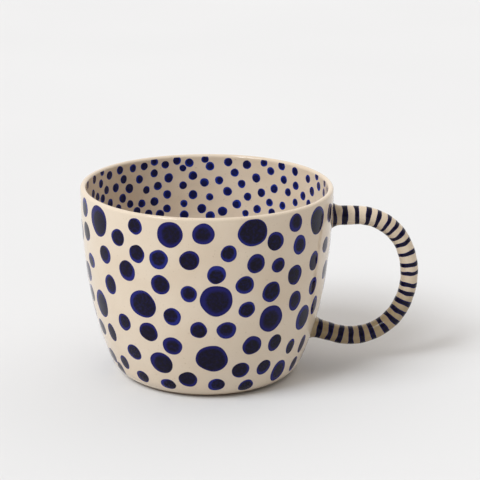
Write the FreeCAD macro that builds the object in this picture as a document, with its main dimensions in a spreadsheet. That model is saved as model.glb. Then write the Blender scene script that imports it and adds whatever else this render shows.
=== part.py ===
"""A hand-built stoneware mug: a rounded clay cup with a coiled ring handle and its glaze coats.

Frame: the origin is the centre of the foot on the surface that the mug stands on, +Z is up
through the mouth, and the handle stands out along +X. Sizes are in millimetres.
"""
import FreeCAD, Part
import Sketcher
import os

DIMENSIONS = {
    "rim_radius": 50.0,
    "mug_height": 76.6,
    "lip_radius": 1.15,
    "glaze": 0.3,
    # the outer surface, from the lip down: three bends, each tangent to the next
    "upper_bend": 261.0,
    "upper_turn": 8.5,
    "middle_bend": 133.5,
    "middle_turn": 22.2,
    "foot_bend": 10.3,
    # the inner surface, in the same way, down to the flat floor
    "inner_upper_bend": 205.0,
    "inner_upper_turn": 9.5,
    "inner_middle_bend": 112.0,
    "inner_middle_turn": 22.0,
    # the clay floor and the bare foot under it
    "floor_thickness": 5.0,
    "foot_height": 0.8,
    "foot_radius": 32.6,
    # the handle's centre line, from the upper root round to the lower one
    "coil_radius": 3.6,
    "root_depth": 5.0,
    "handle_height": 62.8,
    "handle_reach": 59.5,
    "top_bend": 22.0,
    "top_turn": 66.0,
    "side_bend": 30.0,
    "side_turn": 50.5,
    "bottom_bend": 22.2,
    "bottom_turn": 81.0,
    "lower_straight": 14.0,
    # the slip fillets that lute the coil to the wall
    "joint_spread": 2.6,
    "joint_length": 4.2,
    "lower_clear": 5.5,
}

doc = FreeCAD.newDocument("mug")
sheet = doc.addObject("Spreadsheet::Sheet", "dims")
for row, (alias, value) in enumerate(DIMENSIONS.items(), start=1):
    sheet.set(f"A{row}", alias)
    sheet.set(f"B{row}", str(value))
    sheet.setAlias(f"B{row}", alias)
doc.recompute()


def dim(name):
    return "dims." + name


def arc_point(centre, radius, turn):
    """The point of an arc `turn` degrees below its centre's level, away from the axis."""
    return (
        f"({centre[0]} + ({radius}) * cos({turn}))",
        f"({centre[1]} - ({radius}) * sin({turn}))",
    )


def next_centre(centre, radius, turn, next_radius):
    """The centre of the bend that carries on, tangent, where this one ends."""
    return arc_point(centre, f"{radius} - {next_radius}", turn)


LIP_CENTRE = (
    f"({dim('rim_radius')} - {dim('lip_radius')})",
    f"({dim('mug_height')} - {dim('lip_radius')})",
)
UPPER_CENTRE = (f"({dim('rim_radius')} - {dim('upper_bend')})", LIP_CENTRE[1])
MIDDLE_CENTRE = next_centre(UPPER_CENTRE, dim("upper_bend"), dim("upper_turn"), dim("middle_bend"))
FOOT_CENTRE = next_centre(MIDDLE_CENTRE, dim("middle_bend"), dim("middle_turn"), dim("foot_bend"))
INNER_UPPER_CENTRE = (
    f"({dim('rim_radius')} - 2 * {dim('lip_radius')} - {dim('inner_upper_bend')})",
    LIP_CENTRE[1],
)
INNER_MIDDLE_CENTRE = next_centre(
    INNER_UPPER_CENTRE, dim("inner_upper_bend"), dim("inner_upper_turn"), dim("inner_middle_bend")
)
INNER_CORNER_TOP = arc_point(INNER_MIDDLE_CENTRE, dim("inner_middle_bend"), dim("inner_middle_turn"))
# the corner bend is as large as it must be to meet the glazed floor level
INNER_CORNER_BEND = (
    f"(({INNER_CORNER_TOP[1]} - {dim('floor_thickness')} - {dim('glaze')})"
    f" / (1 - sin({dim('inner_middle_turn')})))"
)
INNER_CORNER_CENTRE = next_centre(
    INNER_MIDDLE_CENTRE, dim("inner_middle_bend"), dim("inner_middle_turn"), INNER_CORNER_BEND
)


def turn_at(centre, radius, height):
    """How far an arc has turned where it comes down to a height."""
    return f"asin(({centre[1]} - ({height})) / ({radius}))"


def outer_side(depth, last_turn):
    """The outside from the lip's top down, `depth` under the glaze: (x, z, bend to the next)."""
    lip = f"({dim('lip_radius')} - {depth})"
    upper = f"({dim('upper_bend')} - {depth})"
    middle = f"({dim('middle_bend')} - {depth})"
    foot = f"({dim('foot_bend')} - {depth})"
    return [
        (LIP_CENTRE[0], f"{LIP_CENTRE[1]} + {lip}", lip),
        (f"{LIP_CENTRE[0]} + {lip}", LIP_CENTRE[1], upper),
        (*arc_point(UPPER_CENTRE, upper, dim("upper_turn")), middle),
        (*arc_point(MIDDLE_CENTRE, middle, dim("middle_turn")), foot),
        (*arc_point(FOOT_CENTRE, foot, last_turn), None),
    ]


def inner_side(depth):
    """The inside from the floor's centre up to the top of the lip, `depth` under the glaze."""
    lip = f"({dim('lip_radius')} - {depth})"
    upper = f"({dim('inner_upper_bend')} + {depth})"
    middle = f"({dim('inner_middle_bend')} + {depth})"
    corner = f"({INNER_CORNER_BEND} + {depth})"
    floor = f"{dim('floor_thickness')} + {dim('glaze')} - {depth}"
    return [
        ("0", floor, None),
        (INNER_CORNER_CENTRE[0], floor, f"-{corner}"),
        (*arc_point(INNER_MIDDLE_CENTRE, middle, dim("inner_middle_turn")), f"-{middle}"),
        (*arc_point(INNER_UPPER_CENTRE, upper, dim("inner_upper_turn")), f"-{upper}"),
        (f"{LIP_CENTRE[0]} - {lip}", LIP_CENTRE[1], lip),
        (LIP_CENTRE[0], f"{LIP_CENTRE[1]} + {lip}", None),
    ]


def reverse(points):
    """The same line walked backwards: each bend moves to its other end and changes side."""
    bends = [point[2] for point in points[:-1]][::-1]
    flipped = []
    for bend in bends:
        if bend is None:
            flipped.append(None)
        elif bend[0] == "-":
            flipped.append(bend[1:])
        else:
            flipped.append("-" + bend)
    return [(x, z, bend) for (x, z, _), bend in zip(points[::-1], flipped + [None])]


def origin_plane(body, role):
    return next(f for f in body.Origin.OriginFeatures if f.Role == role)


def new_sketch(body, name, role):
    sketch = body.newObject("Sketcher::SketchObject", name)
    sketch.AttachmentSupport = [(origin_plane(body, role), "")]
    sketch.MapMode = "FlatFace"
    doc.recompute()
    return sketch


def value_of(expression):
    return float(sheet.evalExpression(expression))


def arc_between(start, end, radius):
    """A minor arc between two points: clockwise for a positive radius, else anticlockwise."""
    chord = end - start
    rise = abs(radius) - (radius * radius - (chord.Length / 2) ** 2) ** 0.5
    left = FreeCAD.Vector(-chord.y, chord.x, 0).normalize()
    middle = (start + end) * 0.5
    # every arc runs anticlockwise, so a clockwise one is drawn from its far end
    if radius > 0:
        return Part.Arc(end, middle + left * rise, start)
    return Part.Arc(start, middle - left * rise, end)


def bind(sketch, kind, places, expression):
    """Adds a dimension to a sketch and ties it to the sheet."""
    index = sketch.addConstraint(Sketcher.Constraint(kind, *places, value_of(expression)))
    sketch.setExpression(f"Constraints[{index}]", expression)


def pin(sketch, edge, end, x, y):
    """Holds one end of an edge at (x, y) from the sketch's origin."""
    bind(sketch, "DistanceX", (-1, 1, edge, end), x)
    bind(sketch, "DistanceY", (-1, 1, edge, end), y)


def draw(sketch, points, closed=True):
    """Draws a line through (x, y, bend) points: straight where bend is None, else that arc."""
    places = [FreeCAD.Vector(value_of(x), value_of(y), 0) for x, y, _ in points]
    edges = len(points) if closed else len(points) - 1
    ends = []
    for i in range(edges):
        start = places[i]
        end = places[(i + 1) % len(places)]
        bend = points[i][2]
        radius = None if bend is None else value_of(bend)
        line = Part.LineSegment(start, end) if bend is None else arc_between(start, end, radius)
        sketch.addGeometry(line)
        ends.append((2, 1) if radius and radius > 0 else (1, 2))
    for i in range(edges if closed else edges - 1):
        following = (i + 1) % edges
        meeting = Sketcher.Constraint("Coincident", i, ends[i][1], following, ends[following][0])
        sketch.addConstraint(meeting)
    for i in range(edges):
        x, y, bend = points[i]
        pin(sketch, i, ends[i][0], x, y)
        if bend is not None:
            bind(sketch, "Radius", (i,), bend.lstrip("-"))
    if not closed:
        x, y, _ = points[-1]
        pin(sketch, edges - 1, ends[-1][1], x, y)
    doc.recompute()


def turned(body, kind, points):
    """Adds (Revolution) or removes (Groove) what an outline sweeps round the mug's axis."""
    sketch = new_sketch(body, body.Label + "_outline", "XZ_Plane")
    draw(sketch, points)
    feature = body.newObject("PartDesign::" + kind, body.Label + "_turned")
    feature.Profile = sketch
    feature.ReferenceAxis = (sketch, ["V_Axis"])
    feature.Angle = 360
    doc.recompute()
    return feature


def new_body(label):
    body = doc.addObject("PartDesign::Body", label)
    body.Label = label
    return body


def turned_body(label, points):
    body = new_body(label)
    turned(body, "Revolution", points)
    return body


def cut(label, base, tool):
    result = doc.addObject("Part::Cut", label)
    result.Label = label
    result.Base = base
    result.Tool = tool
    doc.recompute()
    return result


# ---- the cup: a floor slab, the wall that stands on it, and the glaze inside and out

GLAZE = dim("glaze")
CLAY_FOOT_BEND = f"({dim('foot_bend')} - {GLAZE})"
CLAY_FLOOR_TURN = turn_at(FOOT_CENTRE, CLAY_FOOT_BEND, dim("floor_thickness"))
CLAY_LINE_TURN = turn_at(FOOT_CENTRE, CLAY_FOOT_BEND, dim("foot_height"))
GLAZE_LINE_TURN = turn_at(FOOT_CENTRE, dim("foot_bend"), dim("foot_height"))


def make_base_slab():
    """The floor slab, whose bare underside is the foot."""
    rim = arc_point(FOOT_CENTRE, CLAY_FOOT_BEND, CLAY_FLOOR_TURN)
    glaze_line = arc_point(FOOT_CENTRE, CLAY_FOOT_BEND, CLAY_LINE_TURN)
    outline = [
        ("0", "0", None),
        ("0", dim("floor_thickness"), None),
        (*rim, CLAY_FOOT_BEND),
        (*glaze_line, None),
        (dim("foot_radius"), "0", None),
    ]
    return turned_body("base_slab", outline)


def make_cup_wall():
    """The thrown clay wall and floor lining, from the slab up to the rounded lip."""
    outline = outer_side(GLAZE, CLAY_FLOOR_TURN) + inner_side(GLAZE)[1:-1]
    return turned_body("cup_wall", outline)


def core_outline():
    """Half of all that lies within the wall's outer clay surface."""
    side = outer_side(GLAZE, CLAY_LINE_TURN)
    return [("0", side[-1][1], None), ("0", side[0][1], None)] + side


def make_clay_core():
    """The shape that the handle's roots are cut to."""
    return turned_body("clay_core", core_outline())


def make_inner_glaze():
    """The coat on the floor and the inner wall, up to the top of the lip."""
    return turned_body("inner_glaze", inner_side("0") + reverse(inner_side(GLAZE)))


def make_outer_coat():
    """The outer glaze before the handle's roots are cut out of it."""
    coat = outer_side("0", GLAZE_LINE_TURN)
    clay = outer_side(GLAZE, CLAY_LINE_TURN)
    return turned_body("outer_coat", coat + reverse(clay))


# ---- the handle: a coil bent round three bends, luted on with slip and glazed

CLAY_UPPER_BEND = f"({dim('upper_bend')} - {GLAZE})"
UPPER_ROOT_X = arc_point(
    UPPER_CENTRE, CLAY_UPPER_BEND, turn_at(UPPER_CENTRE, CLAY_UPPER_BEND, dim("handle_height"))
)[0]
TOP_TURN = dim("top_turn")
SIDE_TURN = f"({TOP_TURN} + {dim('side_turn')})"
FULL_TURN = f"({SIDE_TURN} + {dim('bottom_turn')})"


def bend_point(centre, radius, turn):
    """The point of a bend after `turn` degrees from its top, clockwise."""
    return (
        f"({centre[0]} + ({radius}) * sin({turn}))",
        f"({centre[1]} + ({radius}) * cos({turn}))",
    )


TOP_CENTRE = (dim("handle_reach"), f"({dim('handle_height')} - {dim('top_bend')})")
SIDE_CENTRE = bend_point(TOP_CENTRE, f"{dim('top_bend')} - {dim('side_bend')}", TOP_TURN)
BOTTOM_CENTRE = bend_point(SIDE_CENTRE, f"{dim('side_bend')} - {dim('bottom_bend')}", SIDE_TURN)
BOTTOM_END = bend_point(BOTTOM_CENTRE, dim("bottom_bend"), FULL_TURN)


def along_lower_straight(distance):
    """The point of the coil's lower straight that far past the last bend, towards the wall."""
    return (
        f"({BOTTOM_END[0]} + ({distance}) * cos({FULL_TURN}))",
        f"({BOTTOM_END[1]} - ({distance}) * sin({FULL_TURN}))",
    )


def coil_line(start_x, lower_straight):
    return [
        (start_x, dim("handle_height"), None),
        (dim("handle_reach"), dim("handle_height"), dim("top_bend")),
        (*bend_point(TOP_CENTRE, dim("top_bend"), TOP_TURN), dim("side_bend")),
        (*bend_point(SIDE_CENTRE, dim("side_bend"), SIDE_TURN), dim("bottom_bend")),
        (*BOTTOM_END, None),
        (*along_lower_straight(lower_straight), None),
    ]


def swept_body(label, start_x, lower_straight, radii):
    """A body swept along the coil's line, its section one circle or a ring between two."""
    body = new_body(label)
    path = new_sketch(body, label + "_path", "XZ_Plane")
    draw(path, coil_line(start_x, lower_straight), closed=False)
    section = new_sketch(body, label + "_section", "YZ_Plane")
    section.setExpression("AttachmentOffset.Base.z", start_x)
    doc.recompute()
    for edge, radius in enumerate(radii):
        centre = FreeCAD.Vector(0, value_of(dim("handle_height")), 0)
        section.addGeometry(Part.Circle(centre, FreeCAD.Vector(0, 0, 1), value_of(radius)))
        pin(section, edge, 3, "0", dim("handle_height"))
        bind(section, "Radius", (edge,), radius)
    doc.recompute()
    pipe = body.newObject("PartDesign::AdditivePipe", label + "_pipe")
    pipe.Profile = section
    pipe.Spine = path
    doc.recompute()
    return body


def make_handle_coil():
    """The clay coil, whose two ends are cut to the wall's clay surface."""
    start_x = f"({UPPER_ROOT_X} - {dim('root_depth')})"
    coil = swept_body("handle_coil", start_x, dim("lower_straight"), [dim("coil_radius")])
    uncut_volume = coil.Shape.Volume
    turned(coil, "Groove", core_outline())
    if not coil.Shape.Volume < uncut_volume:
        raise RuntimeError("the handle coil's ends are not cut to the wall")
    return coil


def make_handle_glaze():
    """The coat on the coil, between the two flares of slip."""
    start_x = f"({UPPER_ROOT_X} + {dim('joint_length')})"
    radii = [f"{dim('coil_radius')} + {GLAZE}", dim("coil_radius")]
    return swept_body("handle_glaze", start_x, dim("lower_clear"), radii)


def make_root_cone(label, base_x, base_z, length, tilt):
    """The flare of slip round a root, from inside the wall out to the handle's glaze."""
    cone = doc.addObject("Part::Cone", label)
    cone.Label = label
    level = FreeCAD.Rotation(FreeCAD.Vector(0, 1, 0), 90)
    cone.Placement = FreeCAD.Placement(FreeCAD.Vector(), level)
    bindings = {
        "Radius1": f"({dim('coil_radius')} + {dim('joint_spread')}) * 1 mm",
        "Radius2": f"({dim('coil_radius')} + {GLAZE}) * 1 mm",
        "Height": f"({length}) * 1 mm",
        "Placement.Base.x": base_x,
        "Placement.Base.z": base_z,
        "Placement.Rotation.Angle": f"90 + {tilt}",
    }
    for name, expression in bindings.items():
        cone.setExpression(name, expression)
    doc.recompute()
    return cone


def make_joint(label, cone, coil, core):
    """The slip left between the flare, the coil through it and the wall behind it."""
    return cut(label, cut(label + "_ring", cone, coil), core)


base_slab = make_base_slab()
cup_wall = make_cup_wall()
inner_glaze = make_inner_glaze()
clay_core = make_clay_core()
handle_coil = make_handle_coil()
handle_glaze = make_handle_glaze()
upper_cone = make_root_cone(
    "upper_root",
    f"{UPPER_ROOT_X} - {dim('root_depth')}",
    dim("handle_height"),
    f"{dim('root_depth')} + {dim('joint_length')}",
    "0",
)
LOWER_ROOT = along_lower_straight(dim("lower_straight"))
lower_cone = make_root_cone(
    "lower_root",
    LOWER_ROOT[0],
    LOWER_ROOT[1],
    f"{dim('lower_straight')} - {dim('lower_clear')}",
    f"{FULL_TURN} - 180",
)
upper_joint = make_joint("upper_joint", upper_cone, handle_coil, clay_core)
lower_joint = make_joint("lower_joint", lower_cone, handle_coil, clay_core)
outer_glaze = cut("outer_glaze", cut("outer_coat_above", make_outer_coat(), upper_cone), lower_cone)

NODES = [
    base_slab,
    cup_wall,
    inner_glaze,
    outer_glaze,
    handle_coil,
    handle_glaze,
    upper_joint,
    lower_joint,
]

for item in doc.Objects:
    if "Invalid" in item.State or "Error" in item.State:
        raise RuntimeError(f"{item.Label} did not recompute: {item.State}")
for node in NODES:
    if node.Shape.isNull() or not node.Shape.isValid():
        raise RuntimeError(f"{node.Label} has no valid shape")

os.makedirs("parts", exist_ok=True)
for node in NODES:
    node.Shape.exportStep(f"parts/{node.Label}.step")
    box = node.Shape.BoundBox
    print(
        f"{node.Label}: {len(node.Shape.Solids)} solid, {node.Shape.Volume:.1f} mm3,"
        f" x {box.XMin:.2f}..{box.XMax:.2f}, y {box.YMin:.2f}..{box.YMax:.2f},"
        f" z {box.ZMin:.2f}..{box.ZMax:.2f}"
    )
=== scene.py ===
import bisect
import math
import random

import bmesh
import bpy
from mathutils import Matrix, Vector, noise


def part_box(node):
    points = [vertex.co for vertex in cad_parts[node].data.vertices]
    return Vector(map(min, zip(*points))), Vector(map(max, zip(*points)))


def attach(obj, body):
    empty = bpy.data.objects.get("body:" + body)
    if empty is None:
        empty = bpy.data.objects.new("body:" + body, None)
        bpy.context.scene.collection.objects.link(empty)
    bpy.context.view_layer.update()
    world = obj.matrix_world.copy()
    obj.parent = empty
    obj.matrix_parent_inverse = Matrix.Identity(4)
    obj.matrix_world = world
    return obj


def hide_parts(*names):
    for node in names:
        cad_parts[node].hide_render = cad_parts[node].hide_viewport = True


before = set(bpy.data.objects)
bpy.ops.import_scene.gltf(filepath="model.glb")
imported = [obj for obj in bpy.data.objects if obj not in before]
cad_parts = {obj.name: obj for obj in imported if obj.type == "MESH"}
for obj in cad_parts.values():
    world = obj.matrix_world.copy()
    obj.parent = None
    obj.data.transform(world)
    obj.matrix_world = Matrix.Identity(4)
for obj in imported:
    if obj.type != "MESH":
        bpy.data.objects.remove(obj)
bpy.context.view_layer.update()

# Driving dimensions, in millimetres. All but the foot's are read from the CAD frame.
MM = 0.001
RIM_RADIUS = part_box("outer_glaze")[1].y / MM
MUG_HEIGHT = max(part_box("outer_glaze")[1].z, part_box("cup_wall")[1].z) / MM
GLAZE_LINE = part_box("outer_glaze")[0].z / MM
FOOT_RADIUS = 32.6
HANDLE_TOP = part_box("handle_glaze")[1].z / MM
COIL_HALF_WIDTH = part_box("handle_glaze")[1].y / MM

# The cup: tangent bends (radius, turn in degrees) down from the upright lip.
LIP_RADIUS = 1.15
LIP_START = MUG_HEIGHT - LIP_RADIUS
OUTER_BENDS = ((261.0, 8.5), (133.5, 22.2), (10.3, 90.0))
INNER_BENDS = ((205.0, 9.5), (112.0, 22.0), (14.0, 90.0))
FLOOR_TOP = 5.3
PROFILE_STEP = 0.2
LIP_STEPS = 16
WALL_RING_STEP = 0.8
FINE_RING_STEP = 0.2
AROUND_CUP = 300
AROUND_FOOT = 180

# The thrown wall's lean out of round: (size, waves round the cup, phase). It grows with height.
OUT_OF_ROUND = ((0.10, 2, 0.7), (0.07, 3, 2.1))
LEAN_FULL_HEIGHT = 40.0
THROWING_RIPPLE = 0.035
THROWING_RING = 0.018
LIP_WAVE = 0.10
LIP_WAVE_REACH = 6.0

# Under the wall the glaze turns in to the clay: (distance in, rise) from the glaze line.
GLAZE_UNDERSIDE = ((2.4, 0.55), (0.9, 0.0), (0.25, 0.02))

# The foot: the round of its edge, and trimming rings cut under it (depth and turn per mm).
FOOT_EDGE = 0.6
TRIM_DEPTH = 0.05
TRIM_TURN = 2.1
TRIM_FADE = 6.0
FOOT_RINGS = 60
FOOT_GRAIN = 0.03
FOOT_HIDDEN_INSET = 1.5
FOOT_HIDDEN_RISE = 1.2

# The handle: level straight, three clockwise bends and the lower straight back to the wall.
COIL_LEVEL = HANDLE_TOP - COIL_HALF_WIDTH
LEVEL_STRAIGHT_END = 59.5
HANDLE_BENDS = ((22.0, 66.0), (30.0, 50.5), (22.2, 81.0))
LOWER_STRAIGHT = 14.0
ROOT_SINK = 1.2
ROOT_FLARE = 1.6
ROOT_FLARE_LENGTH = 5.0
ROOT_FLARE_CURVE = 2.6
ROOT_MEET_SHARE = 0.6
ROOT_SEARCH = 12.0
ROOT_HALVINGS = 24
PATH_STEP = 0.25
COIL_RINGS = 240
AROUND_COIL = 48

# The coil is thinner across the loop than along Y, and swells towards its roots. Rolling by
# hand leaves waves (size, turn per mm, phase), with room for them inside the CAD's width.
COIL_HALF_THICK = 3.5
COIL_ROOT_GAIN = 0.45
COIL_SIDE_GAIN = 0.1
COIL_ROLLS = ((0.05, 0.31, 0.0), (0.04, 0.83, 1.0))
ROLL_ROOM = 0.08

# Paint lies this far proud of the glaze and this far down into it.
PAINT_LIFT = 0.025
PAINT_DEPTH = 0.12


def bend_chain(radius, height, bends, lowest):
    """Points (radius, height) down a chain of tangent bends from an upright start."""
    points = []
    centre_r = radius - bends[0][0]
    centre_z = height
    turned = 0.0
    for index, (bend, turn) in enumerate(bends):
        steps = max(2, int(bend * math.radians(turn - turned) / PROFILE_STEP))
        for step in range(steps + 1):
            angle = math.radians(turned + (turn - turned) * step / steps)
            point = (centre_r + bend * math.cos(angle), centre_z - bend * math.sin(angle))
            if point[1] < lowest:
                return points
            if not points or math.dist(point, points[-1]) > 1e-6:
                points.append(point)
        turned = turn
        if index + 1 < len(bends):
            shift = bend - bends[index + 1][0]
            centre_r += shift * math.cos(math.radians(turn))
            centre_z -= shift * math.sin(math.radians(turn))
    return points


class Profile:
    """The cup's glazed outline, from the glaze line over the lip and in to the floor's middle."""

    def __init__(self):
        outside = bend_chain(RIM_RADIUS, LIP_START, OUTER_BENDS, GLAZE_LINE)
        inside = bend_chain(RIM_RADIUS - 2 * LIP_RADIUS, LIP_START, INNER_BENDS, FLOOR_TOP)
        lip = []
        for step in range(1, LIP_STEPS):
            angle = math.radians(180 * step / LIP_STEPS)
            lip_r = RIM_RADIUS - LIP_RADIUS + LIP_RADIUS * math.cos(angle)
            lip.append((lip_r, LIP_START + LIP_RADIUS * math.sin(angle)))
        floor_start = inside[-1][0]
        floor_steps = int(floor_start / PROFILE_STEP)
        floor = []
        for step in range(1, floor_steps):
            floor.append((floor_start * (1 - step / floor_steps), FLOOR_TOP))
        self.points = outside[::-1] + lip + inside + floor
        self.outside_count = len(outside)
        self.inside_start = len(outside) + len(lip)
        self.floor_index = len(outside) + len(lip) + len(inside) - 1
        self.along = [0.0]
        for a, b in zip(self.points, self.points[1:]):
            self.along.append(self.along[-1] + math.dist(a, b))
        self.lip_along = self.along[self.outside_count - 1]
        self.inside_along = self.along[self.inside_start]
        self.floor_along = self.along[self.floor_index]
        self.end = self.along[-1]

    def at(self, along):
        """(radius, height, outward r, outward z) at a distance along the outline."""
        along = min(max(along, 0.0), self.end - 1e-6)
        low = bisect.bisect_right(self.along, along) - 1
        high = low + 1
        before = max(low - 1, 0)
        after = min(high + 1, len(self.points) - 1)
        share = (along - self.along[low]) / (self.along[high] - self.along[low])
        r = self.points[low][0] * (1 - share) + self.points[high][0] * share
        z = self.points[low][1] * (1 - share) + self.points[high][1] * share
        run_r = self.points[after][0] - self.points[before][0]
        run_z = self.points[after][1] - self.points[before][1]
        length = math.hypot(run_r, run_z)
        return r, z, run_z / length, -run_r / length

    def outside_at(self, height):
        """Distance along the outline to a height on the outer wall."""
        for index in range(self.outside_count - 1):
            if self.points[index + 1][1] >= height:
                low, high = self.points[index][1], self.points[index + 1][1]
                share = (height - low) / max(high - low, 1e-9)
                return self.along[index] + share * (self.along[index + 1] - self.along[index])
        return self.lip_along

    def inside_at(self, height):
        """Distance along the outline to a height on the inner wall."""
        for index in range(self.inside_start, self.floor_index):
            if self.points[index + 1][1] <= height:
                return self.along[index]
        return self.floor_along


PROFILE = Profile()


def hand_wobble(angle, height):
    """How far the thrown wall leans out of round, in mm: nothing at the foot."""
    a = math.radians(angle)
    grow = min(1.0, height / LEAN_FULL_HEIGHT)
    oval = sum(size * math.sin(waves * a + phase) for size, waves, phase in OUT_OF_ROUND)
    spot = Vector((math.sin(a) * 3, math.cos(a) * 3, height / 9.0))
    ripple = THROWING_RIPPLE * noise.noise(spot)
    ring = THROWING_RING * math.sin(height * 1.15 + 0.8 * math.sin(a + 0.4))
    return grow * (oval + ripple + ring)


def cup_point(angle, along, lift=0.0):
    """A point on the cup's glaze, in metres. Angle 0 faces -Y and 90 faces the handle."""
    r, z, out_r, out_z = PROFILE.at(along)
    inner_fade = min(1.0, max(0.0, r / 20.0))
    r += hand_wobble(angle, z) * inner_fade + lift * out_r
    z += lift * out_z
    if z > LIP_START - LIP_WAVE_REACH:
        share = min(1.0, (z - LIP_START + LIP_WAVE_REACH) / LIP_WAVE_REACH)
        z += LIP_WAVE * math.sin(math.radians(3 * angle) + 1.0) * share
    a = math.radians(angle)
    return Vector((r * math.sin(a), -r * math.cos(a), z)) * MM


def handle_path():
    """Points (x, z, heading in degrees, distance) along the coil's middle line."""
    start = PROFILE.at(PROFILE.outside_at(COIL_LEVEL))[0] - ROOT_SINK
    x, z, heading, gone = start, COIL_LEVEL, 0.0, 0.0
    points = [(x, z, heading, gone)]
    runs = [(LEVEL_STRAIGHT_END - start, 0.0)]
    for bend, turn in HANDLE_BENDS:
        runs.append((bend * math.radians(turn), turn))
    runs.append((LOWER_STRAIGHT, 0.0))
    for length, turn in runs:
        count = max(1, round(length / PATH_STEP))
        for _ in range(count):
            middle = math.radians(heading - turn / count / 2)
            x += length / count * math.cos(middle)
            z += length / count * math.sin(middle)
            heading -= turn / count
            gone += length / count
            points.append((x, z, heading, gone))
    return points


PATH = handle_path()
PATH_DISTANCES = [point[3] for point in PATH]
PATH_LENGTH = PATH_DISTANCES[-1]


def path_at(distance):
    """(x, z, heading in degrees) at a distance along the coil."""
    low = min(max(bisect.bisect_right(PATH_DISTANCES, distance) - 1, 0), len(PATH) - 2)
    a, b = PATH[low], PATH[low + 1]
    share = (distance - a[3]) / (b[3] - a[3])
    return tuple(a[i] + (b[i] - a[i]) * share for i in range(3))


LOWER_ROOT_LEVEL = path_at(PATH_LENGTH - ROOT_SINK)[1]


def coil_halves(distance):
    """Half thickness across the loop and half width along Y of the hand-rolled coil."""
    share = distance / PATH_LENGTH
    to_root = abs(2 * share - 1) ** 2
    thick = COIL_HALF_THICK + COIL_ROOT_GAIN * to_root
    wide = COIL_HALF_WIDTH - ROLL_ROOM + COIL_SIDE_GAIN * to_root
    roll = sum(size * math.sin(distance * turn + phase) for size, turn, phase in COIL_ROLLS)
    return thick + roll, wide + roll


def coil_offset(distance, around, grow):
    """(x, y, z) of a point on the coil in mm, with the section grown by an amount."""
    x, z, heading = path_at(distance)
    thick, wide = coil_halves(distance)
    h, a = math.radians(heading), math.radians(around)
    across = (thick + grow) * math.cos(a)
    side = (wide + grow) * math.sin(a)
    return x - math.sin(h) * across, side, z + math.cos(h) * across


def outside_of_wall(point):
    """How far a point in mm lies outside the cup's outer wall."""
    x, y, z = point
    return math.hypot(x, y) - PROFILE.at(PROFILE.outside_at(z))[0]


def root_distance(around, lower):
    """Distance along the coil where its flared side meets the wall, for one way round it."""
    low, high = 0.0, ROOT_SEARCH
    if lower:
        low, high = PATH_LENGTH, PATH_LENGTH - ROOT_SEARCH
    for _ in range(ROOT_HALVINGS):
        middle = (low + high) / 2
        if outside_of_wall(coil_offset(middle, around, ROOT_FLARE * ROOT_MEET_SHARE)) < 0:
            low = middle
        else:
            high = middle
    return (low + high) / 2


COIL_ANGLES = [360 * i / AROUND_COIL for i in range(AROUND_COIL)]
ROOTS = [(root_distance(a, False), root_distance(a, True)) for a in COIL_ANGLES]


def root_at(around, lower):
    """The meeting distance, blended between the ways round that were worked out."""
    place = (around % 360) / 360 * AROUND_COIL
    low = int(place) % AROUND_COIL
    share = place - int(place)
    a, b = ROOTS[low], ROOTS[(low + 1) % AROUND_COIL]
    return a[lower] * (1 - share) + b[lower] * share


def root_flare(distance, around):
    """How much the slip at the roots thickens the coil, in mm."""
    total = 0.0
    for lower in (0, 1):
        meet = root_at(around, lower)
        away = (meet - distance) if lower else (distance - meet)
        share = min(max(away / ROOT_FLARE_LENGTH, 0.0), 1.0)
        total += ROOT_FLARE * (1 - share) ** ROOT_FLARE_CURVE
    return total


def coil_point(distance, around, lift=0.0, flared=True):
    """A point on the coil's surface in metres; flared adds the slip at the roots."""
    grow = lift + (root_flare(distance, around) if flared else 0.0)
    return Vector(coil_offset(distance, around, grow)) * MM


def add_rings(mesh, rings, closed_loop=False, poles=None):
    """Adds a closed skin through rings of points, with two pole points or joined end to end."""
    made = [[mesh.verts.new(p) for p in ring] for ring in rings]
    count = len(made[0])
    pairs = list(zip(made, made[1:]))
    if closed_loop:
        pairs.append((made[-1], made[0]))
    for a, b in pairs:
        for i in range(count):
            j = (i + 1) % count
            mesh.faces.new((a[i], a[j], b[j], b[i]))
    if poles:
        first = mesh.verts.new(poles[0])
        last = mesh.verts.new(poles[1])
        for i in range(count):
            j = (i + 1) % count
            mesh.faces.new((first, made[0][j], made[0][i]))
            mesh.faces.new((last, made[-1][i], made[-1][j]))
    return made


# Edges that bend by more degrees than this are shaded as sharp ones.
SHARP_ANGLE = 40


def finish_mesh(name, mesh, material, nodes):
    """Turns the mesh into a piece that rides on the root body and takes its slot and nodes."""
    bmesh.ops.recalc_face_normals(mesh, faces=mesh.faces)
    for face in mesh.faces:
        face.smooth = True
    for edge in mesh.edges:
        if len(edge.link_faces) == 2:
            edge.smooth = edge.calc_face_angle(0) < math.radians(SHARP_ANGLE)
    data = bpy.data.meshes.new(name)
    mesh.to_mesh(data)
    mesh.free()
    piece = bpy.data.objects.new(name, data)
    bpy.context.scene.collection.objects.link(piece)
    data.materials.append(material)
    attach(piece, "root")
    if nodes:
        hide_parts(*nodes)
    return piece


def round_ring(radius, height, count, grain=0.0):
    """A level ring of points in metres, with its radius roughened by an amount in mm."""
    ring = []
    for i in range(count):
        a = math.radians(360 * i / count)
        r = radius
        if grain:
            r += grain * noise.noise(Vector((math.sin(a) * 9, math.cos(a) * 9, radius)))
        ring.append(Vector((r * math.sin(a), -r * math.cos(a), height)) * MM)
    return ring


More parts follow.
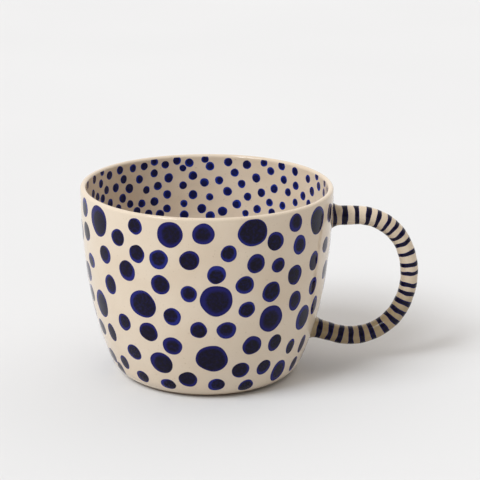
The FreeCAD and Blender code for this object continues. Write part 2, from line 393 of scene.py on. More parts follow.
def make_cup(material):
    """The glazed cup: outer wall, rounded lip, inner wall and floor in one closed skin."""
    mesh = bmesh.new()
    stops = []
    along = 0.0
    while along < PROFILE.end - 0.3:
        stops.append(along)
        near_lip = PROFILE.lip_along - 0.5 < along < PROFILE.inside_along + 0.5
        near_edge = along < 1.0
        along += FINE_RING_STEP if near_lip or near_edge else WALL_RING_STEP
    angles = [360 * i / AROUND_CUP for i in range(AROUND_CUP)]
    edge_r = PROFILE.at(0)[0]
    under = [round_ring(edge_r - inset, GLAZE_LINE + rise, AROUND_CUP)
             for inset, rise in GLAZE_UNDERSIDE]
    rings = under + [[cup_point(a, s) for a in angles] for s in stops]
    low_pole = Vector((0, 0, GLAZE_LINE + GLAZE_UNDERSIDE[0][1])) * MM
    high_pole = Vector((0, 0, FLOOR_TOP)) * MM
    add_rings(mesh, rings, poles=(low_pole, high_pole))
    return finish_mesh("cup_glazed", mesh, material,
                       ("cup_wall", "outer_glaze", "inner_glaze"))


def make_foot(material):
    """The bare clay foot: a turned disc with eased edge and faint trimming rings beneath."""
    mesh = bmesh.new()
    outline = []
    for step in range(1, FOOT_RINGS):
        r = (FOOT_RADIUS - 1.0) * step / FOOT_RINGS
        edge_fade = min(1.0, (FOOT_RADIUS - r) / TRIM_FADE)
        outline.append((r, TRIM_DEPTH * (1 + math.sin(r * TRIM_TURN)) * edge_fade))
    for step in range(9):
        angle = math.radians(90 * step / 8)
        edge_r = FOOT_RADIUS - FOOT_EDGE + FOOT_EDGE * math.sin(angle)
        outline.append((edge_r, FOOT_EDGE - FOOT_EDGE * math.cos(angle)))
    outline.append((FOOT_RADIUS, GLAZE_LINE + 0.3))
    outline.append((FOOT_RADIUS - FOOT_HIDDEN_INSET, GLAZE_LINE + FOOT_HIDDEN_RISE))
    rings = [round_ring(r, z, AROUND_FOOT, grain=FOOT_GRAIN) for r, z in outline]
    low_pole = Vector((0, 0, TRIM_DEPTH)) * MM
    top_pole = Vector((0, 0, GLAZE_LINE + FOOT_HIDDEN_RISE)) * MM
    add_rings(mesh, rings, poles=(low_pole, top_pole))
    return finish_mesh("foot_bare", mesh, material, ("base_slab",))


def make_handle(material):
    """The glazed coil, hand-rolled and a little uneven, sunk into the wall at both ends."""
    mesh = bmesh.new()
    stops = [PATH_LENGTH * i / COIL_RINGS for i in range(COIL_RINGS + 1)]
    stops[-1] = PATH_LENGTH - 1e-3
    rings = [[coil_point(s, a, flared=False) for a in COIL_ANGLES] for s in stops]
    poles = [sum(ring, Vector()) / len(ring) for ring in (rings[0], rings[-1])]
    add_rings(mesh, rings, poles=poles)
    return finish_mesh("handle_glazed", mesh, material,
                       ("handle_coil", "handle_glaze"))


# The fillets: how far they start inside the wall, lie proud of the coil, tuck under its
# surface at their ends, and reach down into the coil, mm.
FILLET_SINK = 1.0
FILLET_LIFT = 0.012
FILLET_TUCK = 0.05
FILLET_DEPTH = 0.7
FILLET_RINGS = 16


def make_fillet(name, node, lower, material):
    """The slip that was wiped round a root, flaring from the coil on to the wall."""
    mesh = bmesh.new()
    sign = -1 if lower else 1

    def ring(away, lift, flared):
        return [coil_point(root_at(a, lower) + sign * away, a, lift, flared) for a in COIL_ANGLES]

    rings = []
    for step in range(FILLET_RINGS):
        away = -FILLET_SINK + (ROOT_FLARE_LENGTH + FILLET_SINK) * step / FILLET_RINGS
        rings.append(ring(away, FILLET_LIFT, True))
    rings.append(ring(ROOT_FLARE_LENGTH, -FILLET_TUCK, True))
    rings.append(ring(ROOT_FLARE_LENGTH - 0.5, -FILLET_DEPTH, False))
    rings.append(ring(-0.9, -FILLET_DEPTH, False))
    add_rings(mesh, rings, closed_loop=True)
    return finish_mesh(name, mesh, material, (node,))


# Painted spots on the outside: (angle, height, width, height of the spot), degrees and mm.
OUTER_SPOTS = (
    (-75, 71.5, 7.3, 7.5), (-60, 69.5, 11.7, 12), (-46.5, 65.5, 6.8, 6.8), (-36.5, 71.5, 6.2, 6.7),
    (-20, 70, 10.1, 10), (-5.5, 70.8, 8.2, 8.3), (-56, 56.8, 6.9, 7.4), (-36, 60.7, 6.8, 7.3),
    (-25.3, 59.8, 7.6, 7.8), (-11.5, 60.4, 7.5, 7.8), (-42, 53, 8, 8.1), (-25, 49.7, 7.7, 7.9),
    (-12, 46.9, 6.3, 6.7), (-74, 62, 7.5, 7.5), (-70.5, 51, 6.3, 6), (-78.5, 44.7, 8, 8),
    (-54, 45, 7, 7.9), (-65, 34.5, 9.5, 11.5), (-47.4, 30.6, 6.6, 7.4), (-34.7, 40.5, 12, 11.1),
    (-20, 37, 7.1, 7.3), (-7.8, 32, 6.5, 7), (-33, 29, 8, 8.3), (-60.3, 23.3, 5.6, 7.8),
    (-44.8, 18, 7, 7), (-21, 24.3, 8, 7.8), (-28.3, 15.9, 9.6, 9.8), (-56.3, 11, 5.2, 6.6),
    (-43.5, 7, 6, 5.8), (-26.5, 6, 6.4, 5.4), (-14.3, 9.4, 7.3, 7.6), (-65, 6, 5, 6.5),
    (-73, 22.5, 7, 7), (-71, 10.5, 6.5, 6.5), (0.3, 44.2, 12.7, 12.4), (-1.3, 19.3, 12.4, 12.2),
    (16, 70.5, 11.7, 10.7), (5.4, 63, 6.2, 6.6), (0.2, 54.8, 7.2, 7.3), (27, 66, 7.2, 7.6),
    (17.8, 58.2, 7.2, 7.7), (29, 56.2, 5.9, 6.1), (38, 71.5, 6.8, 7.2), (41, 62.3, 6.9, 8),
    (54, 69.5, 10.2, 11.5), (39.3, 50.5, 7.3, 8.4), (53, 53.3, 6.4, 8), (13, 50, 7.1, 7.5),
    (26.3, 45.7, 8, 8.4), (55, 42.5, 6, 7.5), (65, 57, 6.4, 6.4), (70, 45.5, 7.6, 7.6),
    (69, 69, 7, 7.8), (79, 62, 6, 6), (14.5, 39.8, 6.7, 6.6), (5.3, 31.7, 7.5, 7.4),
    (27.5, 34.4, 10.4, 11.4), (41.3, 39.4, 6.9, 8.2), (50, 30.3, 8.6, 11), (18.8, 24, 8.1, 8.3),
    (32, 23.2, 6.2, 7.6), (44.7, 19, 4.8, 6.8), (57.5, 17, 5, 8), (60.5, 33, 5.5, 8),
    (14.4, 13.2, 7.1, 7.5), (28.3, 12.7, 6.4, 7), (40.5, 8.8, 7.5, 10.5), (55.5, 8.6, 4.8, 7),
    (1.5, 7, 6.7, 6.2), (19.3, 5.2, 6.3, 6.3),
)

# Painted spots on the inside: (angle, height, diameter), degrees and mm; 180 is the far side.
INNER_SPOTS = (
    (177, 74.6, 3.2), (174.5, 71.5, 3.8), (-175, 73.2, 3.8), (-171.7, 71, 3), (-168.7, 74.4, 3.6),
    (-162.5, 73, 3.4), (-176.8, 67.6, 3.8), (177.3, 64.5, 3.8), (-171.7, 63.4, 3.4),
    (-164.2, 67.1, 4), (-176.8, 59.2, 3.9), (174.6, 58.2, 3.2), (-172, 55.7, 3.2),
    (178.7, 53.2, 4), (-163.2, 60, 3.7), (-162.8, 54, 3.5), (-172, 50.8, 3.8), (-158.7, 52, 3.8),
    (-156, 57.6, 3.8), (-158.2, 64, 3.7), (-156.4, 69.8, 3.5), (-156.6, 74.8, 3.5),
    (-150.8, 73.3, 3.4), (-147.8, 68.2, 3.6), (-151.7, 63, 3.3), (-148.6, 57.7, 3.6),
    (-152.3, 52.8, 3.6), (-145.3, 54.8, 3.6), (-144, 73.3, 3.4), (-137.8, 69.6, 3.6),
    (-141.3, 65, 4.1), (-141.3, 58.4, 3.4), (-136.5, 61.7, 3.9), (-132, 67, 3.8),
    (-135.4, 73.7, 3.6), (-127.4, 73, 3.7), (-121, 75.4, 3), (-119.5, 70.9, 3.5),
    (-124.5, 67.4, 3.5), (-127, 61.3, 3.6), (-120.5, 64.4, 3.6), (-115.3, 66.3, 3.5),
    (-110, 68.8, 3.6), (-112.2, 74.1, 3.5), (-100.5, 74.6, 3.6), (-133, 58, 3.4),
    (165.2, 73.5, 3.7), (161.8, 69.2, 3.6), (169.8, 65.4, 3.6), (165.4, 60.8, 3.9),
    (160.3, 55.6, 3.9), (167.8, 52.2, 4.1), (174.2, 50.2, 3.9), (155.4, 72.9, 3.8),
    (158, 64.5, 3.5), (154.6, 59.3, 3.5), (155.4, 52, 3), (150.2, 67.8, 3.9), (146, 74.6, 3.3),
    (142, 71.5, 3.5), (147, 61.6, 3.7), (149, 54.4, 3.6), (139.6, 64.3, 3.8), (142, 58, 3.4),
    (140.3, 54, 3.4), (135.4, 74.5, 3.7), (133.8, 68.9, 3.5), (130.7, 64, 3.4), (133.8, 57.8, 3.4),
    (126.4, 73.6, 3.6), (125.5, 67.7, 3.6), (125.2, 60.7, 3.2), (116, 72.4, 3.4),
    (119.5, 64.4, 3.6), (111.7, 68, 3.9), (114.3, 62.2, 3.3), (107.2, 75.2, 3.3),
    (104.6, 71.6, 3.8), (95.5, 75, 3.4), (96.5, 70.8, 3.3), (88, 73.5, 3.3),
)


# The unseen back of the outside: its angles, the heights that spots keep to, and the spots'
# (smallest, largest, tries, gap between them), degrees and mm.
BACK_ANGLES = (76, 283)
BACK_CENTRES = (4.5, 71.8)
SPOT_LOWEST = 1.6
SPOT_HIGHEST = 75.4
ROOT_MARGIN = 2.0
BACK_STRETCH = (0.96, 1.04)
BACK_SPOTS = ((10.5, 12.3, 260, 3.4), (7.4, 8.8, 1500, 1.9), (5.8, 7.2, 5200, 1.6))

# The unseen inside: rows of small spots down the wall and in to the floor's middle, mm.
INSIDE_FIRST_ROW = 2.6
INSIDE_ROW_STEP = 5.4
INSIDE_PITCH = 7.4
INSIDE_GAP = 5.6
INSIDE_STRAY = 0.9
INSIDE_SIZES = (3.2, 4.0)


def near_handle(angle, height, margin):
    """True where a spot would run into the slip round a root of the handle."""
    across = math.radians(angle - 90) * RIM_RADIUS
    for level in (COIL_LEVEL, LOWER_ROOT_LEVEL):
        if math.hypot(across, height - level) < COIL_HALF_WIDTH + margin:
            return True
    return False


def scatter_back(rng):
    """Spots for the unseen back of the outside, spaced like the seen ones."""
    placed = [(a, z, (w + h) / 2) for a, z, w, h in OUTER_SPOTS]
    added = []
    for low, high, tries, gap in BACK_SPOTS:
        for _ in range(tries):
            angle = rng.uniform(*BACK_ANGLES)
            size = rng.uniform(low, high)
            height = rng.uniform(*BACK_CENTRES)
            if height - size / 2 < SPOT_LOWEST or height + size / 2 > SPOT_HIGHEST:
                continue
            if near_handle(angle, height, size / 2 + ROOT_MARGIN):
                continue
            free = True
            for other, level, width in placed:
                r = PROFILE.at(PROFILE.outside_at((height + level) / 2))[0]
                turn = (angle - other + 180) % 360 - 180
                away = math.hypot(math.radians(turn) * r, height - level)
                if away < (size + width) / 2 + gap:
                    free = False
                    break
            if free:
                placed.append((angle, height, size))
                added.append((angle, height, size * rng.uniform(*BACK_STRETCH), size))
    return added


def scatter_inside(rng):
    """Spots for the unseen inside, in uneven staggered rows down to the middle of the floor."""
    placed = []
    for angle, height, size in INNER_SPOTS:
        placed.append((angle, PROFILE.inside_at(height)))
    added = []
    row = 0
    along = PROFILE.inside_along + INSIDE_FIRST_ROW
    while along < PROFILE.end - INSIDE_SIZES[0] / 2:
        r = max(PROFILE.at(along)[0], 0.5)
        count = max(1, round(2 * math.pi * r / INSIDE_PITCH))
        for i in range(count):
            stray = math.degrees(rng.uniform(-INSIDE_STRAY, INSIDE_STRAY) / r)
            angle = 360 * (i + 0.5 * (row % 2)) / count + stray
            place = along + rng.uniform(-INSIDE_STRAY, INSIDE_STRAY)
            size = rng.uniform(*INSIDE_SIZES)
            free = True
            for other, level in placed:
                turn = (angle - other + 180) % 360 - 180
                if math.hypot(math.radians(turn) * r, place - level) < INSIDE_GAP:
                    free = False
                    break
            if free:
                added.append((angle, place, size))
        row += 1
        along += INSIDE_ROW_STEP
    return added


# Corners round a large spot outside and round a small one inside, and the rings of a spot as
# shares of its reach.
OUTER_SIDES = 36
INNER_SIDES = 24
SPOT_RINGS = (0.3, 0.55, 0.7, 0.82, 0.91, 1.0)

# A brushed outline's unevenness: (waves round it, size as a share of its reach).
SPOT_WAVES = ((2, 0.030), (3, 0.022), (5, 0.012))

# The thick core of a spot: how far it sits off the middle and how big it is, as shares.
CORE_SHIFTS = (0.04, 0.2)
CORE_SIZES = (0.5, 0.84)
HUE_STRAY = 0.4

# Hue of the thin edge: 0 is the duller blue and 1 the brighter one.
LARGE_SPOT = 9.5
LARGE_SPOT_HUE = 0.2
SMALL_SPOT_HUE = 0.5
INSIDE_HUE = 0.75

# Inside this radius of the floor's middle a spot is laid out flat.
FLAT_RADIUS = 12.0


def spot_shape(rng):
    """Slight unevenness of a brushed spot: (wave count, size, phase) of its outline."""
    waves = []
    for count, size in SPOT_WAVES:
        waves.append((count, size * rng.uniform(0.4, 1.2), rng.uniform(0, 2 * math.pi)))
    return waves


def add_spot(mesh, layers, rng, angle, along, width, height, limits, hue, sides):
    """One painted spot as a thin closed lens, with pigment depth and hue per point."""
    waves = spot_shape(rng)
    core_turn = rng.uniform(0, 2 * math.pi)
    core_shift = rng.uniform(*CORE_SHIFTS)
    core_size = rng.uniform(*CORE_SIZES)
    shade = min(1.0, max(0.0, hue + rng.uniform(-HUE_STRAY, HUE_STRAY)))

    def place(u, v, lift):
        there = min(max(along + v, limits[0]), limits[1])
        r = max(PROFILE.at(there)[0], 0.6)
        if PROFILE.at(along)[0] < FLAT_RADIUS:
            base = cup_point(angle, along)
            spin = math.radians(angle)
            side = Vector((math.cos(spin), math.sin(spin), 0)) * u * MM
            out = Vector((-math.sin(spin), math.cos(spin), 0)) * v * MM
            return base + side + out + Vector((0, 0, lift)) * MM
        return cup_point(angle + math.degrees(u / r), there, lift)

    def outline(turn):
        reach = 1 + sum(s * math.sin(n * turn + p) for n, s, p in waves)
        return reach * width / 2 * math.cos(turn), reach * height / 2 * math.sin(turn)

    depth_layer, hue_layer = layers
    turns = [2 * math.pi * i / sides for i in range(sides)]
    rings = [[place(share * outline(t)[0], share * outline(t)[1], PAINT_LIFT) for t in turns]
             for share in SPOT_RINGS]
    rings.append([place(*outline(t), -PAINT_DEPTH) for t in turns])
    poles = (place(0, 0, PAINT_LIFT), place(0, 0, -PAINT_DEPTH))
    made = add_rings(mesh, rings, poles=poles)
    mesh.verts.ensure_lookup_table()
    shift = (core_shift * math.cos(core_turn), core_shift * math.sin(core_turn))
    for ring, reach in zip(made, SPOT_RINGS + (1.0,)):
        for vert, turn in zip(ring, turns):
            off = math.hypot(reach * math.cos(turn) - shift[0], reach * math.sin(turn) - shift[1])
            thin = min(1.0, max(0.0, (off - core_size) / (1.02 - core_size)))
            vert[depth_layer] = thin * thin * (3 - 2 * thin)
            vert[hue_layer] = shade
    for vert in mesh.verts[-2:]:
        vert[depth_layer] = 0.0
        vert[hue_layer] = shade


def paint_layers(mesh):
    """The two values that every painted point carries: thinness of the pigment and its hue."""
    return mesh.verts.layers.float.new("thin"), mesh.verts.layers.float.new("hue")


def make_outer_spots(material):
    """All the spots on the outside: the seen ones listed, the back ones scattered."""
    rng = random.Random(41)
    mesh = bmesh.new()
    layers = paint_layers(mesh)
    limits = (0.35, PROFILE.lip_along + 0.2)
    for angle, height, width, tall in OUTER_SPOTS + tuple(scatter_back(rng)):
        along = PROFILE.outside_at(height)
        hue = LARGE_SPOT_HUE if width > LARGE_SPOT else SMALL_SPOT_HUE
        add_spot(mesh, layers, rng, angle, along, width, tall, limits, hue, OUTER_SIDES)
    return finish_mesh("outer_spots", mesh, material, ())


def make_inner_spots(material):
    """All the small spots on the inside, down to the floor."""
    rng = random.Random(17)
    mesh = bmesh.new()
    layers = paint_layers(mesh)
    limits = (PROFILE.inside_along - 0.4, PROFILE.end)
    seen = [(angle, PROFILE.inside_at(height), size) for angle, height, size in INNER_SPOTS]
    for angle, along, size in seen + scatter_inside(rng):
        add_spot(mesh, layers, rng, angle, along, size, size, limits, INSIDE_HUE, INNER_SIDES)
    return finish_mesh("inner_spots", mesh, material, ())


# Painted bands on the coil: (distance along the coil's middle line, width), mm.
HANDLE_BANDS = (
    (2.1, 1.5), (6.5, 2.3), (11.4, 1.9), (15.6, 1.9), (19.8, 1.7), (23.6, 1.6), (27.0, 1.6),
    (30.5, 1.8), (34.5, 1.8), (39.4, 1.6), (44.0, 1.7), (47.6, 1.7), (52.7, 1.8), (56.5, 1.7),
    (60.5, 2.1), (64.6, 2.1), (69.1, 2.2), (73.8, 2.2), (79.0, 2.2), (83.4, 2.1), (87.9, 2.2),
    (92.5, 2.3), (97.0, 2.2), (101.6, 2.2),
)


# A band's rows across its width, from edge to edge, and where the pigment starts to thin.
BAND_ROWS = (-1.0, -0.8, -0.4, 0.0, 0.4, 0.8, 1.0)
BAND_UNDERSIDE = (1.0, -1.0)
BAND_THICK = 0.55
BAND_EDGE_THIN = 0.7
BAND_SIDES = 64
BAND_TILT = 0.35
BAND_END_MARGIN = 0.05


def make_handle_bands(material):
    """Narrow bands brushed round the coil, each a thin closed hoop with uneven edges."""
    rng = random.Random(5)
    mesh = bmesh.new()
    layers = paint_layers(mesh)
    angles = [360 * i / BAND_SIDES for i in range(BAND_SIDES)]
    for middle, width in HANDLE_BANDS:
        tilt = rng.uniform(0.0, BAND_TILT)
        tilt_turn = rng.uniform(0, 360)
        waves = [(n, rng.uniform(0.02, 0.09), rng.uniform(0, 6.3)) for n in (2, 3, 5)]
        swell = [(n, rng.uniform(0.03, 0.09), rng.uniform(0, 6.3)) for n in (1, 3, 4)]
        shade = rng.uniform(0.1, 0.6)

        def place(row, around, lift):
            a = math.radians(around)
            centre = middle + tilt * math.sin(a + math.radians(tilt_turn))
            centre += sum(s * math.sin(n * a + p) for n, s, p in waves)
            half = width / 2 * (1 + sum(s * math.sin(n * a + p) for n, s, p in swell))
            distance = max(centre + row * half, BAND_END_MARGIN)
            return coil_point(min(distance, PATH_LENGTH - BAND_END_MARGIN), around, lift)

        rings = [[place(row, a, PAINT_LIFT) for a in angles] for row in BAND_ROWS]
        rings += [[place(row, a, -PAINT_DEPTH) for a in angles] for row in BAND_UNDERSIDE]
        made = add_rings(mesh, rings, closed_loop=True)
        for ring, row in zip(made, BAND_ROWS + BAND_UNDERSIDE):
            for vert in ring:
                edge = max(0.0, abs(row) - BAND_THICK) / (1 - BAND_THICK)
                vert[layers[0]] = edge * BAND_EDGE_THIN
                vert[layers[1]] = shade
    return finish_mesh("handle_bands", mesh, material, ())


def srgb(red, green, blue):
    """A linear colour from 0-255 display values."""
    def one(value):
        value /= 255
        return value / 12.92 if value <= 0.04045 else ((value + 0.055) / 1.055) ** 2.4
    return one(red), one(green), one(blue), 1.0


def new_material(name, roughness):
    """An empty node material with a Principled shader and object coordinates."""
    material = bpy.data.materials.new(name)
    material.use_nodes = True
    nodes = material.node_tree.nodes
    shader = nodes["Principled BSDF"]
    shader.inputs["Roughness"].default_value = roughness
    coords = nodes.new("ShaderNodeTexCoord")
    return material, nodes, material.node_tree.links, shader, coords


def add_noise(nodes, links, coords, scale, detail=3.0):
    """A noise texture in object coordinates."""
    texture = nodes.new("ShaderNodeTexNoise")
    texture.inputs["Scale"].default_value = scale
    texture.inputs["Detail"].default_value = detail
    links.new(coords.outputs["Object"], texture.inputs["Vector"])
    return texture


def add_ramp(nodes, links, source, stops):
    """A colour ramp fed by a value, with stops of (place, colour)."""
    ramp = nodes.new("ShaderNodeValToRGB")
    while len(ramp.color_ramp.elements) < len(stops):
        ramp.color_ramp.elements.new(0.5)
    for element, (place, colour) in zip(ramp.color_ramp.elements, stops):
        element.position = place
        element.color = colour
    links.new(source, ramp.inputs["Fac"])
    return ramp


def add_mix(nodes, links, factor, a, b):
    """A colour mix; each of factor, a and b is a socket or a value."""
    mix = nodes.new("ShaderNodeMix")
    mix.data_type = "RGBA"
    for socket, value in ((mix.inputs[0], factor), (mix.inputs[6], a), (mix.inputs[7], b)):
        if isinstance(value, bpy.types.NodeSocket):
            links.new(value, socket)
        else:
            socket.default_value = value
    return mix.outputs[2]


def add_bump(nodes, links, coords, shader, parts):
    """Bump from several noises, each (scale, strength, distance)."""
    last = None
    for scale, strength, distance in parts:
        texture = add_noise(nodes, links, coords, scale, 2.0)
        bump = nodes.new("ShaderNodeBump")
        bump.inputs["Strength"].default_value = strength
        bump.inputs["Distance"].default_value = distance
        links.new(texture.outputs["Fac"], bump.inputs["Height"])
        if last:
            links.new(last.outputs["Normal"], bump.inputs["Normal"])
        last = bump
    links.new(last.outputs["Normal"], shader.inputs["Normal"])


# The glaze: bumps as (scale, strength, distance), and its gloss. The paint's gloss is weaker.
GLAZE_IOR = 1.5
GLAZE_BUMP = ((55.0, 0.25, 0.0004), (420.0, 0.05, 0.0001))
GLAZE_ROUGHNESS = 0.07
GLAZE_SPECULAR = 0.32
PAINT_SPECULAR = 0.13
CLAY_ROUGHNESS = 0.85

# Noise scales, per metre: cloudy tone, iron specks, brush streaks and grit in the clay.
CLOUD_SCALE = 38.0
SPECK_SCALE = 1500.0
STREAK_SCALE = 900.0
GRIT_SCALE = 700.0


def add_painted_shade(nodes, links, coords, source, painted_shade_colour, ranges):
    """Mixes a painted shade colour into the source colour over ranges of object x or z, in mm."""
    split = nodes.new("ShaderNodeSeparateXYZ")
    links.new(coords.outputs["Object"], split.inputs[0])
    colour = source
    for axis, full, none, strength in ranges:
        fade = nodes.new("ShaderNodeMapRange")
        fade.interpolation_type = "SMOOTHSTEP"
        fade.inputs["From Min"].default_value = full * MM
        fade.inputs["From Max"].default_value = none * MM
        fade.inputs["To Min"].default_value = strength
        fade.inputs["To Max"].default_value = 0.0
        links.new(split.outputs[axis], fade.inputs["Value"])
        colour = add_mix(nodes, links, fade.outputs[0], colour, painted_shade_colour)
    return colour


def cream_glaze(name, light, deep, speck, painted_shade_colour=None, ranges=()):
    """Clear glaze over cream slip, cloudy in tone, with fine iron specks and an uneven skin."""
    material, nodes, links, shader, coords = new_material(name, GLAZE_ROUGHNESS)
    shader.inputs["IOR"].default_value = GLAZE_IOR
    shader.inputs["Specular IOR Level"].default_value = GLAZE_SPECULAR
    cloud = add_noise(nodes, links, coords, CLOUD_SCALE, 4.0)
    base = add_ramp(nodes, links, cloud.outputs["Fac"], ((0.3, deep), (0.7, light)))
    grain = add_noise(nodes, links, coords, SPECK_SCALE, 1.0)
    specks = add_ramp(nodes, links, grain.outputs["Fac"],
                      ((0.70, (0, 0, 0, 1)), (0.78, (0.35, 0.35, 0.35, 1))))
    colour = add_mix(nodes, links, specks.outputs["Color"], base.outputs["Color"], speck)
    # Painted shade: a darker colour mixed in over the given ranges of x or z.
    if painted_shade_colour:
        colour = add_painted_shade(nodes, links, coords, colour, painted_shade_colour, ranges)
    links.new(colour, shader.inputs["Base Color"])
    add_bump(nodes, links, coords, shader, GLAZE_BUMP)
    return material


def cobalt_paint(name, core, edge, bright_edge):
    """Cobalt under the same glaze: near-black where it lies thick, royal blue where it thins."""
    material, nodes, links, shader, coords = new_material(name, GLAZE_ROUGHNESS)
    shader.inputs["IOR"].default_value = GLAZE_IOR
    shader.inputs["Specular IOR Level"].default_value = PAINT_SPECULAR
    thin = nodes.new("ShaderNodeAttribute")
    thin.attribute_name = "thin"
    hue = nodes.new("ShaderNodeAttribute")
    hue.attribute_name = "hue"
    streak = add_noise(nodes, links, coords, STREAK_SCALE, 3.0)
    add = nodes.new("ShaderNodeMath")
    add.operation = "MULTIPLY_ADD"
    links.new(streak.outputs["Fac"], add.inputs[0])
    add.inputs[1].default_value = 0.5
    links.new(thin.outputs["Fac"], add.inputs[2])
    blend = add_ramp(nodes, links, add.outputs[0],
                     ((0.22, (0, 0, 0, 1)), (0.75, (1, 1, 1, 1))))
    rim = add_mix(nodes, links, hue.outputs["Fac"], edge, bright_edge)
    colour = add_mix(nodes, links, blend.outputs["Color"], core, rim)
    links.new(colour, shader.inputs["Base Color"])
    add_bump(nodes, links, coords, shader, GLAZE_BUMP)
    return material


def bare_clay(name):
    """Unglazed fired stoneware: brown, matt and gritty."""
    material, nodes, links, shader, coords = new_material(name, CLAY_ROUGHNESS)
    grit = add_noise(nodes, links, coords, GRIT_SCALE, 6.0)
    ramp = add_ramp(nodes, links, grit.outputs["Fac"],
                    ((0.3, srgb(122, 82, 48)), (0.7, srgb(172, 128, 86))))
    links.new(ramp.outputs["Color"], shader.inputs["Base Color"])
    add_bump(nodes, links, coords, shader, ((900.0, 0.5, 0.0002),))
    return material


# The stage: a plain pale floor, its half width in metres and the two tones of its paper.
FLOOR_REACH = 6.0
FLOOR_DARK = (0.71, 0.71, 0.71, 1.0)
FLOOR_LIGHT = (0.73, 0.73, 0.73, 1.0)

# The lamps: turn from the camera side towards the left, height above the floor, the angle
# that each fills, all in degrees, and power. The softbox lights; the bulb makes the glints.
SOFTBOX = (58.0, 48.0, 26.0, 1.55)
BULB = (46.0, 40.0, 16.0, 0.55)
LAMP_COLOUR = (0.95, 1.0, 1.06)

# The surroundings: dim low down on the camera's side, bright above and behind, and a card
# behind on the right that shows in the glaze along the right edge.
WORLD_COLOUR = (1.0, 0.96, 0.92, 1.0)
WORLD_DIM = 0.18
WORLD_BRIGHT = 0.82
WORLD_RISE = (-0.4, 0.6, 0.7)
WORLD_REACH = (-0.5, 0.5)
CARD_SIDE = (0.75, 0.66, 0.0)
CARD_REACH = (0.35, 0.95)
CARD_POWER = 0.55

# The camera, in mm and degrees: about a point on the mug's axis, and aimed to the right of it.
CAMERA_LENS = 130.8
CAMERA_DISTANCE = 700.0
CAMERA_RISE = 18.12
CAMERA_TURN = -4.0
CAMERA_ABOUT = 37.0
CAMERA_ROLL = 0.43
AIM_ASIDE = 13.2
AIM_HEIGHT = 53.5


def make_stage():
    """A plain pale floor, wide enough to fill the view behind the mug."""
    mesh = bmesh.new()
    corners = [(-FLOOR_REACH, -FLOOR_REACH), (FLOOR_REACH, -FLOOR_REACH),
               (FLOOR_REACH, FLOOR_REACH), (-FLOOR_REACH, FLOOR_REACH)]
    mesh.faces.new([mesh.verts.new((x, y, 0.0)) for x, y in corners])
    data = bpy.data.meshes.new("floor")
    mesh.to_mesh(data)
    mesh.free()
    floor = bpy.data.objects.new("floor", data)
    bpy.context.scene.collection.objects.link(floor)
    material, nodes, links, shader, coords = new_material("floor_paper", 0.9)
    paper = add_noise(nodes, links, coords, 3.0, 2.0)
    ramp = add_ramp(nodes, links, paper.outputs["Fac"],
                    ((0.3, FLOOR_DARK), (0.7, FLOOR_LIGHT)))
    links.new(ramp.outputs["Color"], shader.inputs["Base Color"])
    shader.inputs["Specular IOR Level"].default_value = 0.1
    data.materials.append(material)


def add_lamp(name, turn, lift, spread, power):
    """A distant lamp, high up on the left and a little in front."""
    data = bpy.data.lights.new(name, "SUN")
    data.energy = power
    data.angle = math.radians(spread)
    data.color = LAMP_COLOUR
    lamp = bpy.data.objects.new(name, data)
    bpy.context.scene.collection.objects.link(lamp)
    turn = math.radians(turn)
    lift = math.radians(lift)
    towards = Vector((-math.sin(turn) * math.cos(lift), -math.cos(turn) * math.cos(lift),
                      math.sin(lift)))
    lamp.rotation_euler = (-towards).to_track_quat("-Z", "Y").to_euler()


def add_glow(nodes, links, coords, towards, reach, dim, bright):
    """Strength of the surroundings that rises with how far they lie towards a direction."""
    side = nodes.new("ShaderNodeVectorMath")
    side.operation = "DOT_PRODUCT"
    links.new(coords.outputs["Generated"], side.inputs[0])
    side.inputs[1].default_value = towards
    glow = nodes.new("ShaderNodeMapRange")
    glow.inputs["From Min"].default_value = reach[0]
    glow.inputs["From Max"].default_value = reach[1]
    glow.inputs["To Min"].default_value = dim
    glow.inputs["To Max"].default_value = bright
    links.new(side.outputs["Value"], glow.inputs["Value"])
    return glow.outputs[0]


def make_world():
    """White studio surroundings with a card, from two glows added together."""
    world = bpy.data.worlds.new("studio")
    bpy.context.scene.world = world
    world.use_nodes = True
    nodes = world.node_tree.nodes
    links = world.node_tree.links
    coords = nodes.new("ShaderNodeTexCoord")
    total = nodes.new("ShaderNodeMath")
    room = add_glow(nodes, links, coords, WORLD_RISE, WORLD_REACH, WORLD_DIM, WORLD_BRIGHT)
    card = add_glow(nodes, links, coords, CARD_SIDE, CARD_REACH, 0.0, CARD_POWER)
    links.new(room, total.inputs[0])
    links.new(card, total.inputs[1])
    nodes["Background"].inputs["Color"].default_value = WORLD_COLOUR
    links.new(total.outputs[0], nodes["Background"].inputs["Strength"])


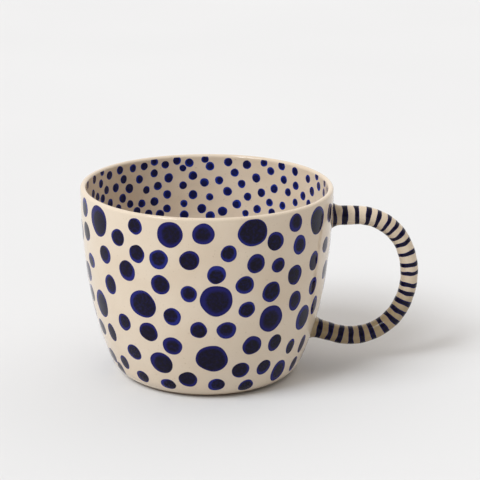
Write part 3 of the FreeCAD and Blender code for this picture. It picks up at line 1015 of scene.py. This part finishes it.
def make_camera():
    """A long-lens camera in front of the mug, a little to the left and looking down on it."""
    data = bpy.data.cameras.new("camera")
    data.lens = CAMERA_LENS
    data.sensor_width = 36.0
    data.clip_end = 20.0
    camera = bpy.data.objects.new("camera", data)
    bpy.context.scene.collection.objects.link(camera)
    turn = math.radians(CAMERA_TURN)
    rise = math.radians(CAMERA_RISE)
    level = CAMERA_DISTANCE * math.cos(rise)
    place = Vector((level * math.sin(turn), -level * math.cos(turn),
                    CAMERA_ABOUT + CAMERA_DISTANCE * math.sin(rise))) * MM
    aim = Vector((AIM_ASIDE * math.cos(turn), AIM_ASIDE * math.sin(turn), AIM_HEIGHT)) * MM
    facing = (aim - place).to_track_quat("-Z", "Y").to_matrix().to_4x4()
    roll = Matrix.Rotation(math.radians(CAMERA_ROLL), 4, "Z")
    camera.matrix_world = Matrix.Translation(place) @ facing @ roll
    bpy.context.scene.camera = camera


# Painted shade on the coil's glaze at the upper root and lower run: (axis, full depth at, none at,
# strength), mm.
COIL_PAINTED_SHADE = (("X", 50.0, 56.0, 0.75), ("Z", 22.0, 36.0, 0.85))


def make_mug():
    """All the pieces of the mug with their materials."""
    cream = cream_glaze("cream_glaze", srgb(220, 205, 185), srgb(212, 194, 171),
                        srgb(150, 120, 90))
    # The coil's glaze is a darker copy of the cup's cream, which is painted shade, with more shade
    # painted at its roots.
    shaded_coil_cream = cream_glaze("coil_glaze_painted_shade", srgb(217, 200, 177), srgb(199, 180, 153),
                             srgb(130, 100, 72), srgb(150, 130, 96), COIL_PAINTED_SHADE)
    spots = cobalt_paint("cobalt_spots", srgb(16, 11, 30), srgb(26, 24, 90), srgb(32, 38, 118))
    inside = cobalt_paint("cobalt_inside", srgb(18, 20, 62), srgb(24, 32, 108), srgb(32, 52, 146))
    bands = cobalt_paint("cobalt_bands", srgb(14, 11, 28), srgb(22, 18, 60), srgb(30, 28, 95))
    make_cup(cream)
    make_foot(bare_clay("foot_clay"))
    make_handle(shaded_coil_cream)
    make_fillet("upper_fillet", "upper_joint", 0, shaded_coil_cream)
    make_fillet("lower_fillet", "lower_joint", 1, shaded_coil_cream)
    make_outer_spots(spots)
    make_inner_spots(inside)
    make_handle_bands(bands)


make_camera()
make_stage()
make_world()
add_lamp("softbox", *SOFTBOX)
add_lamp("bulb", *BULB)
make_mug()
bpy.context.scene.view_settings.view_transform = "Standard"
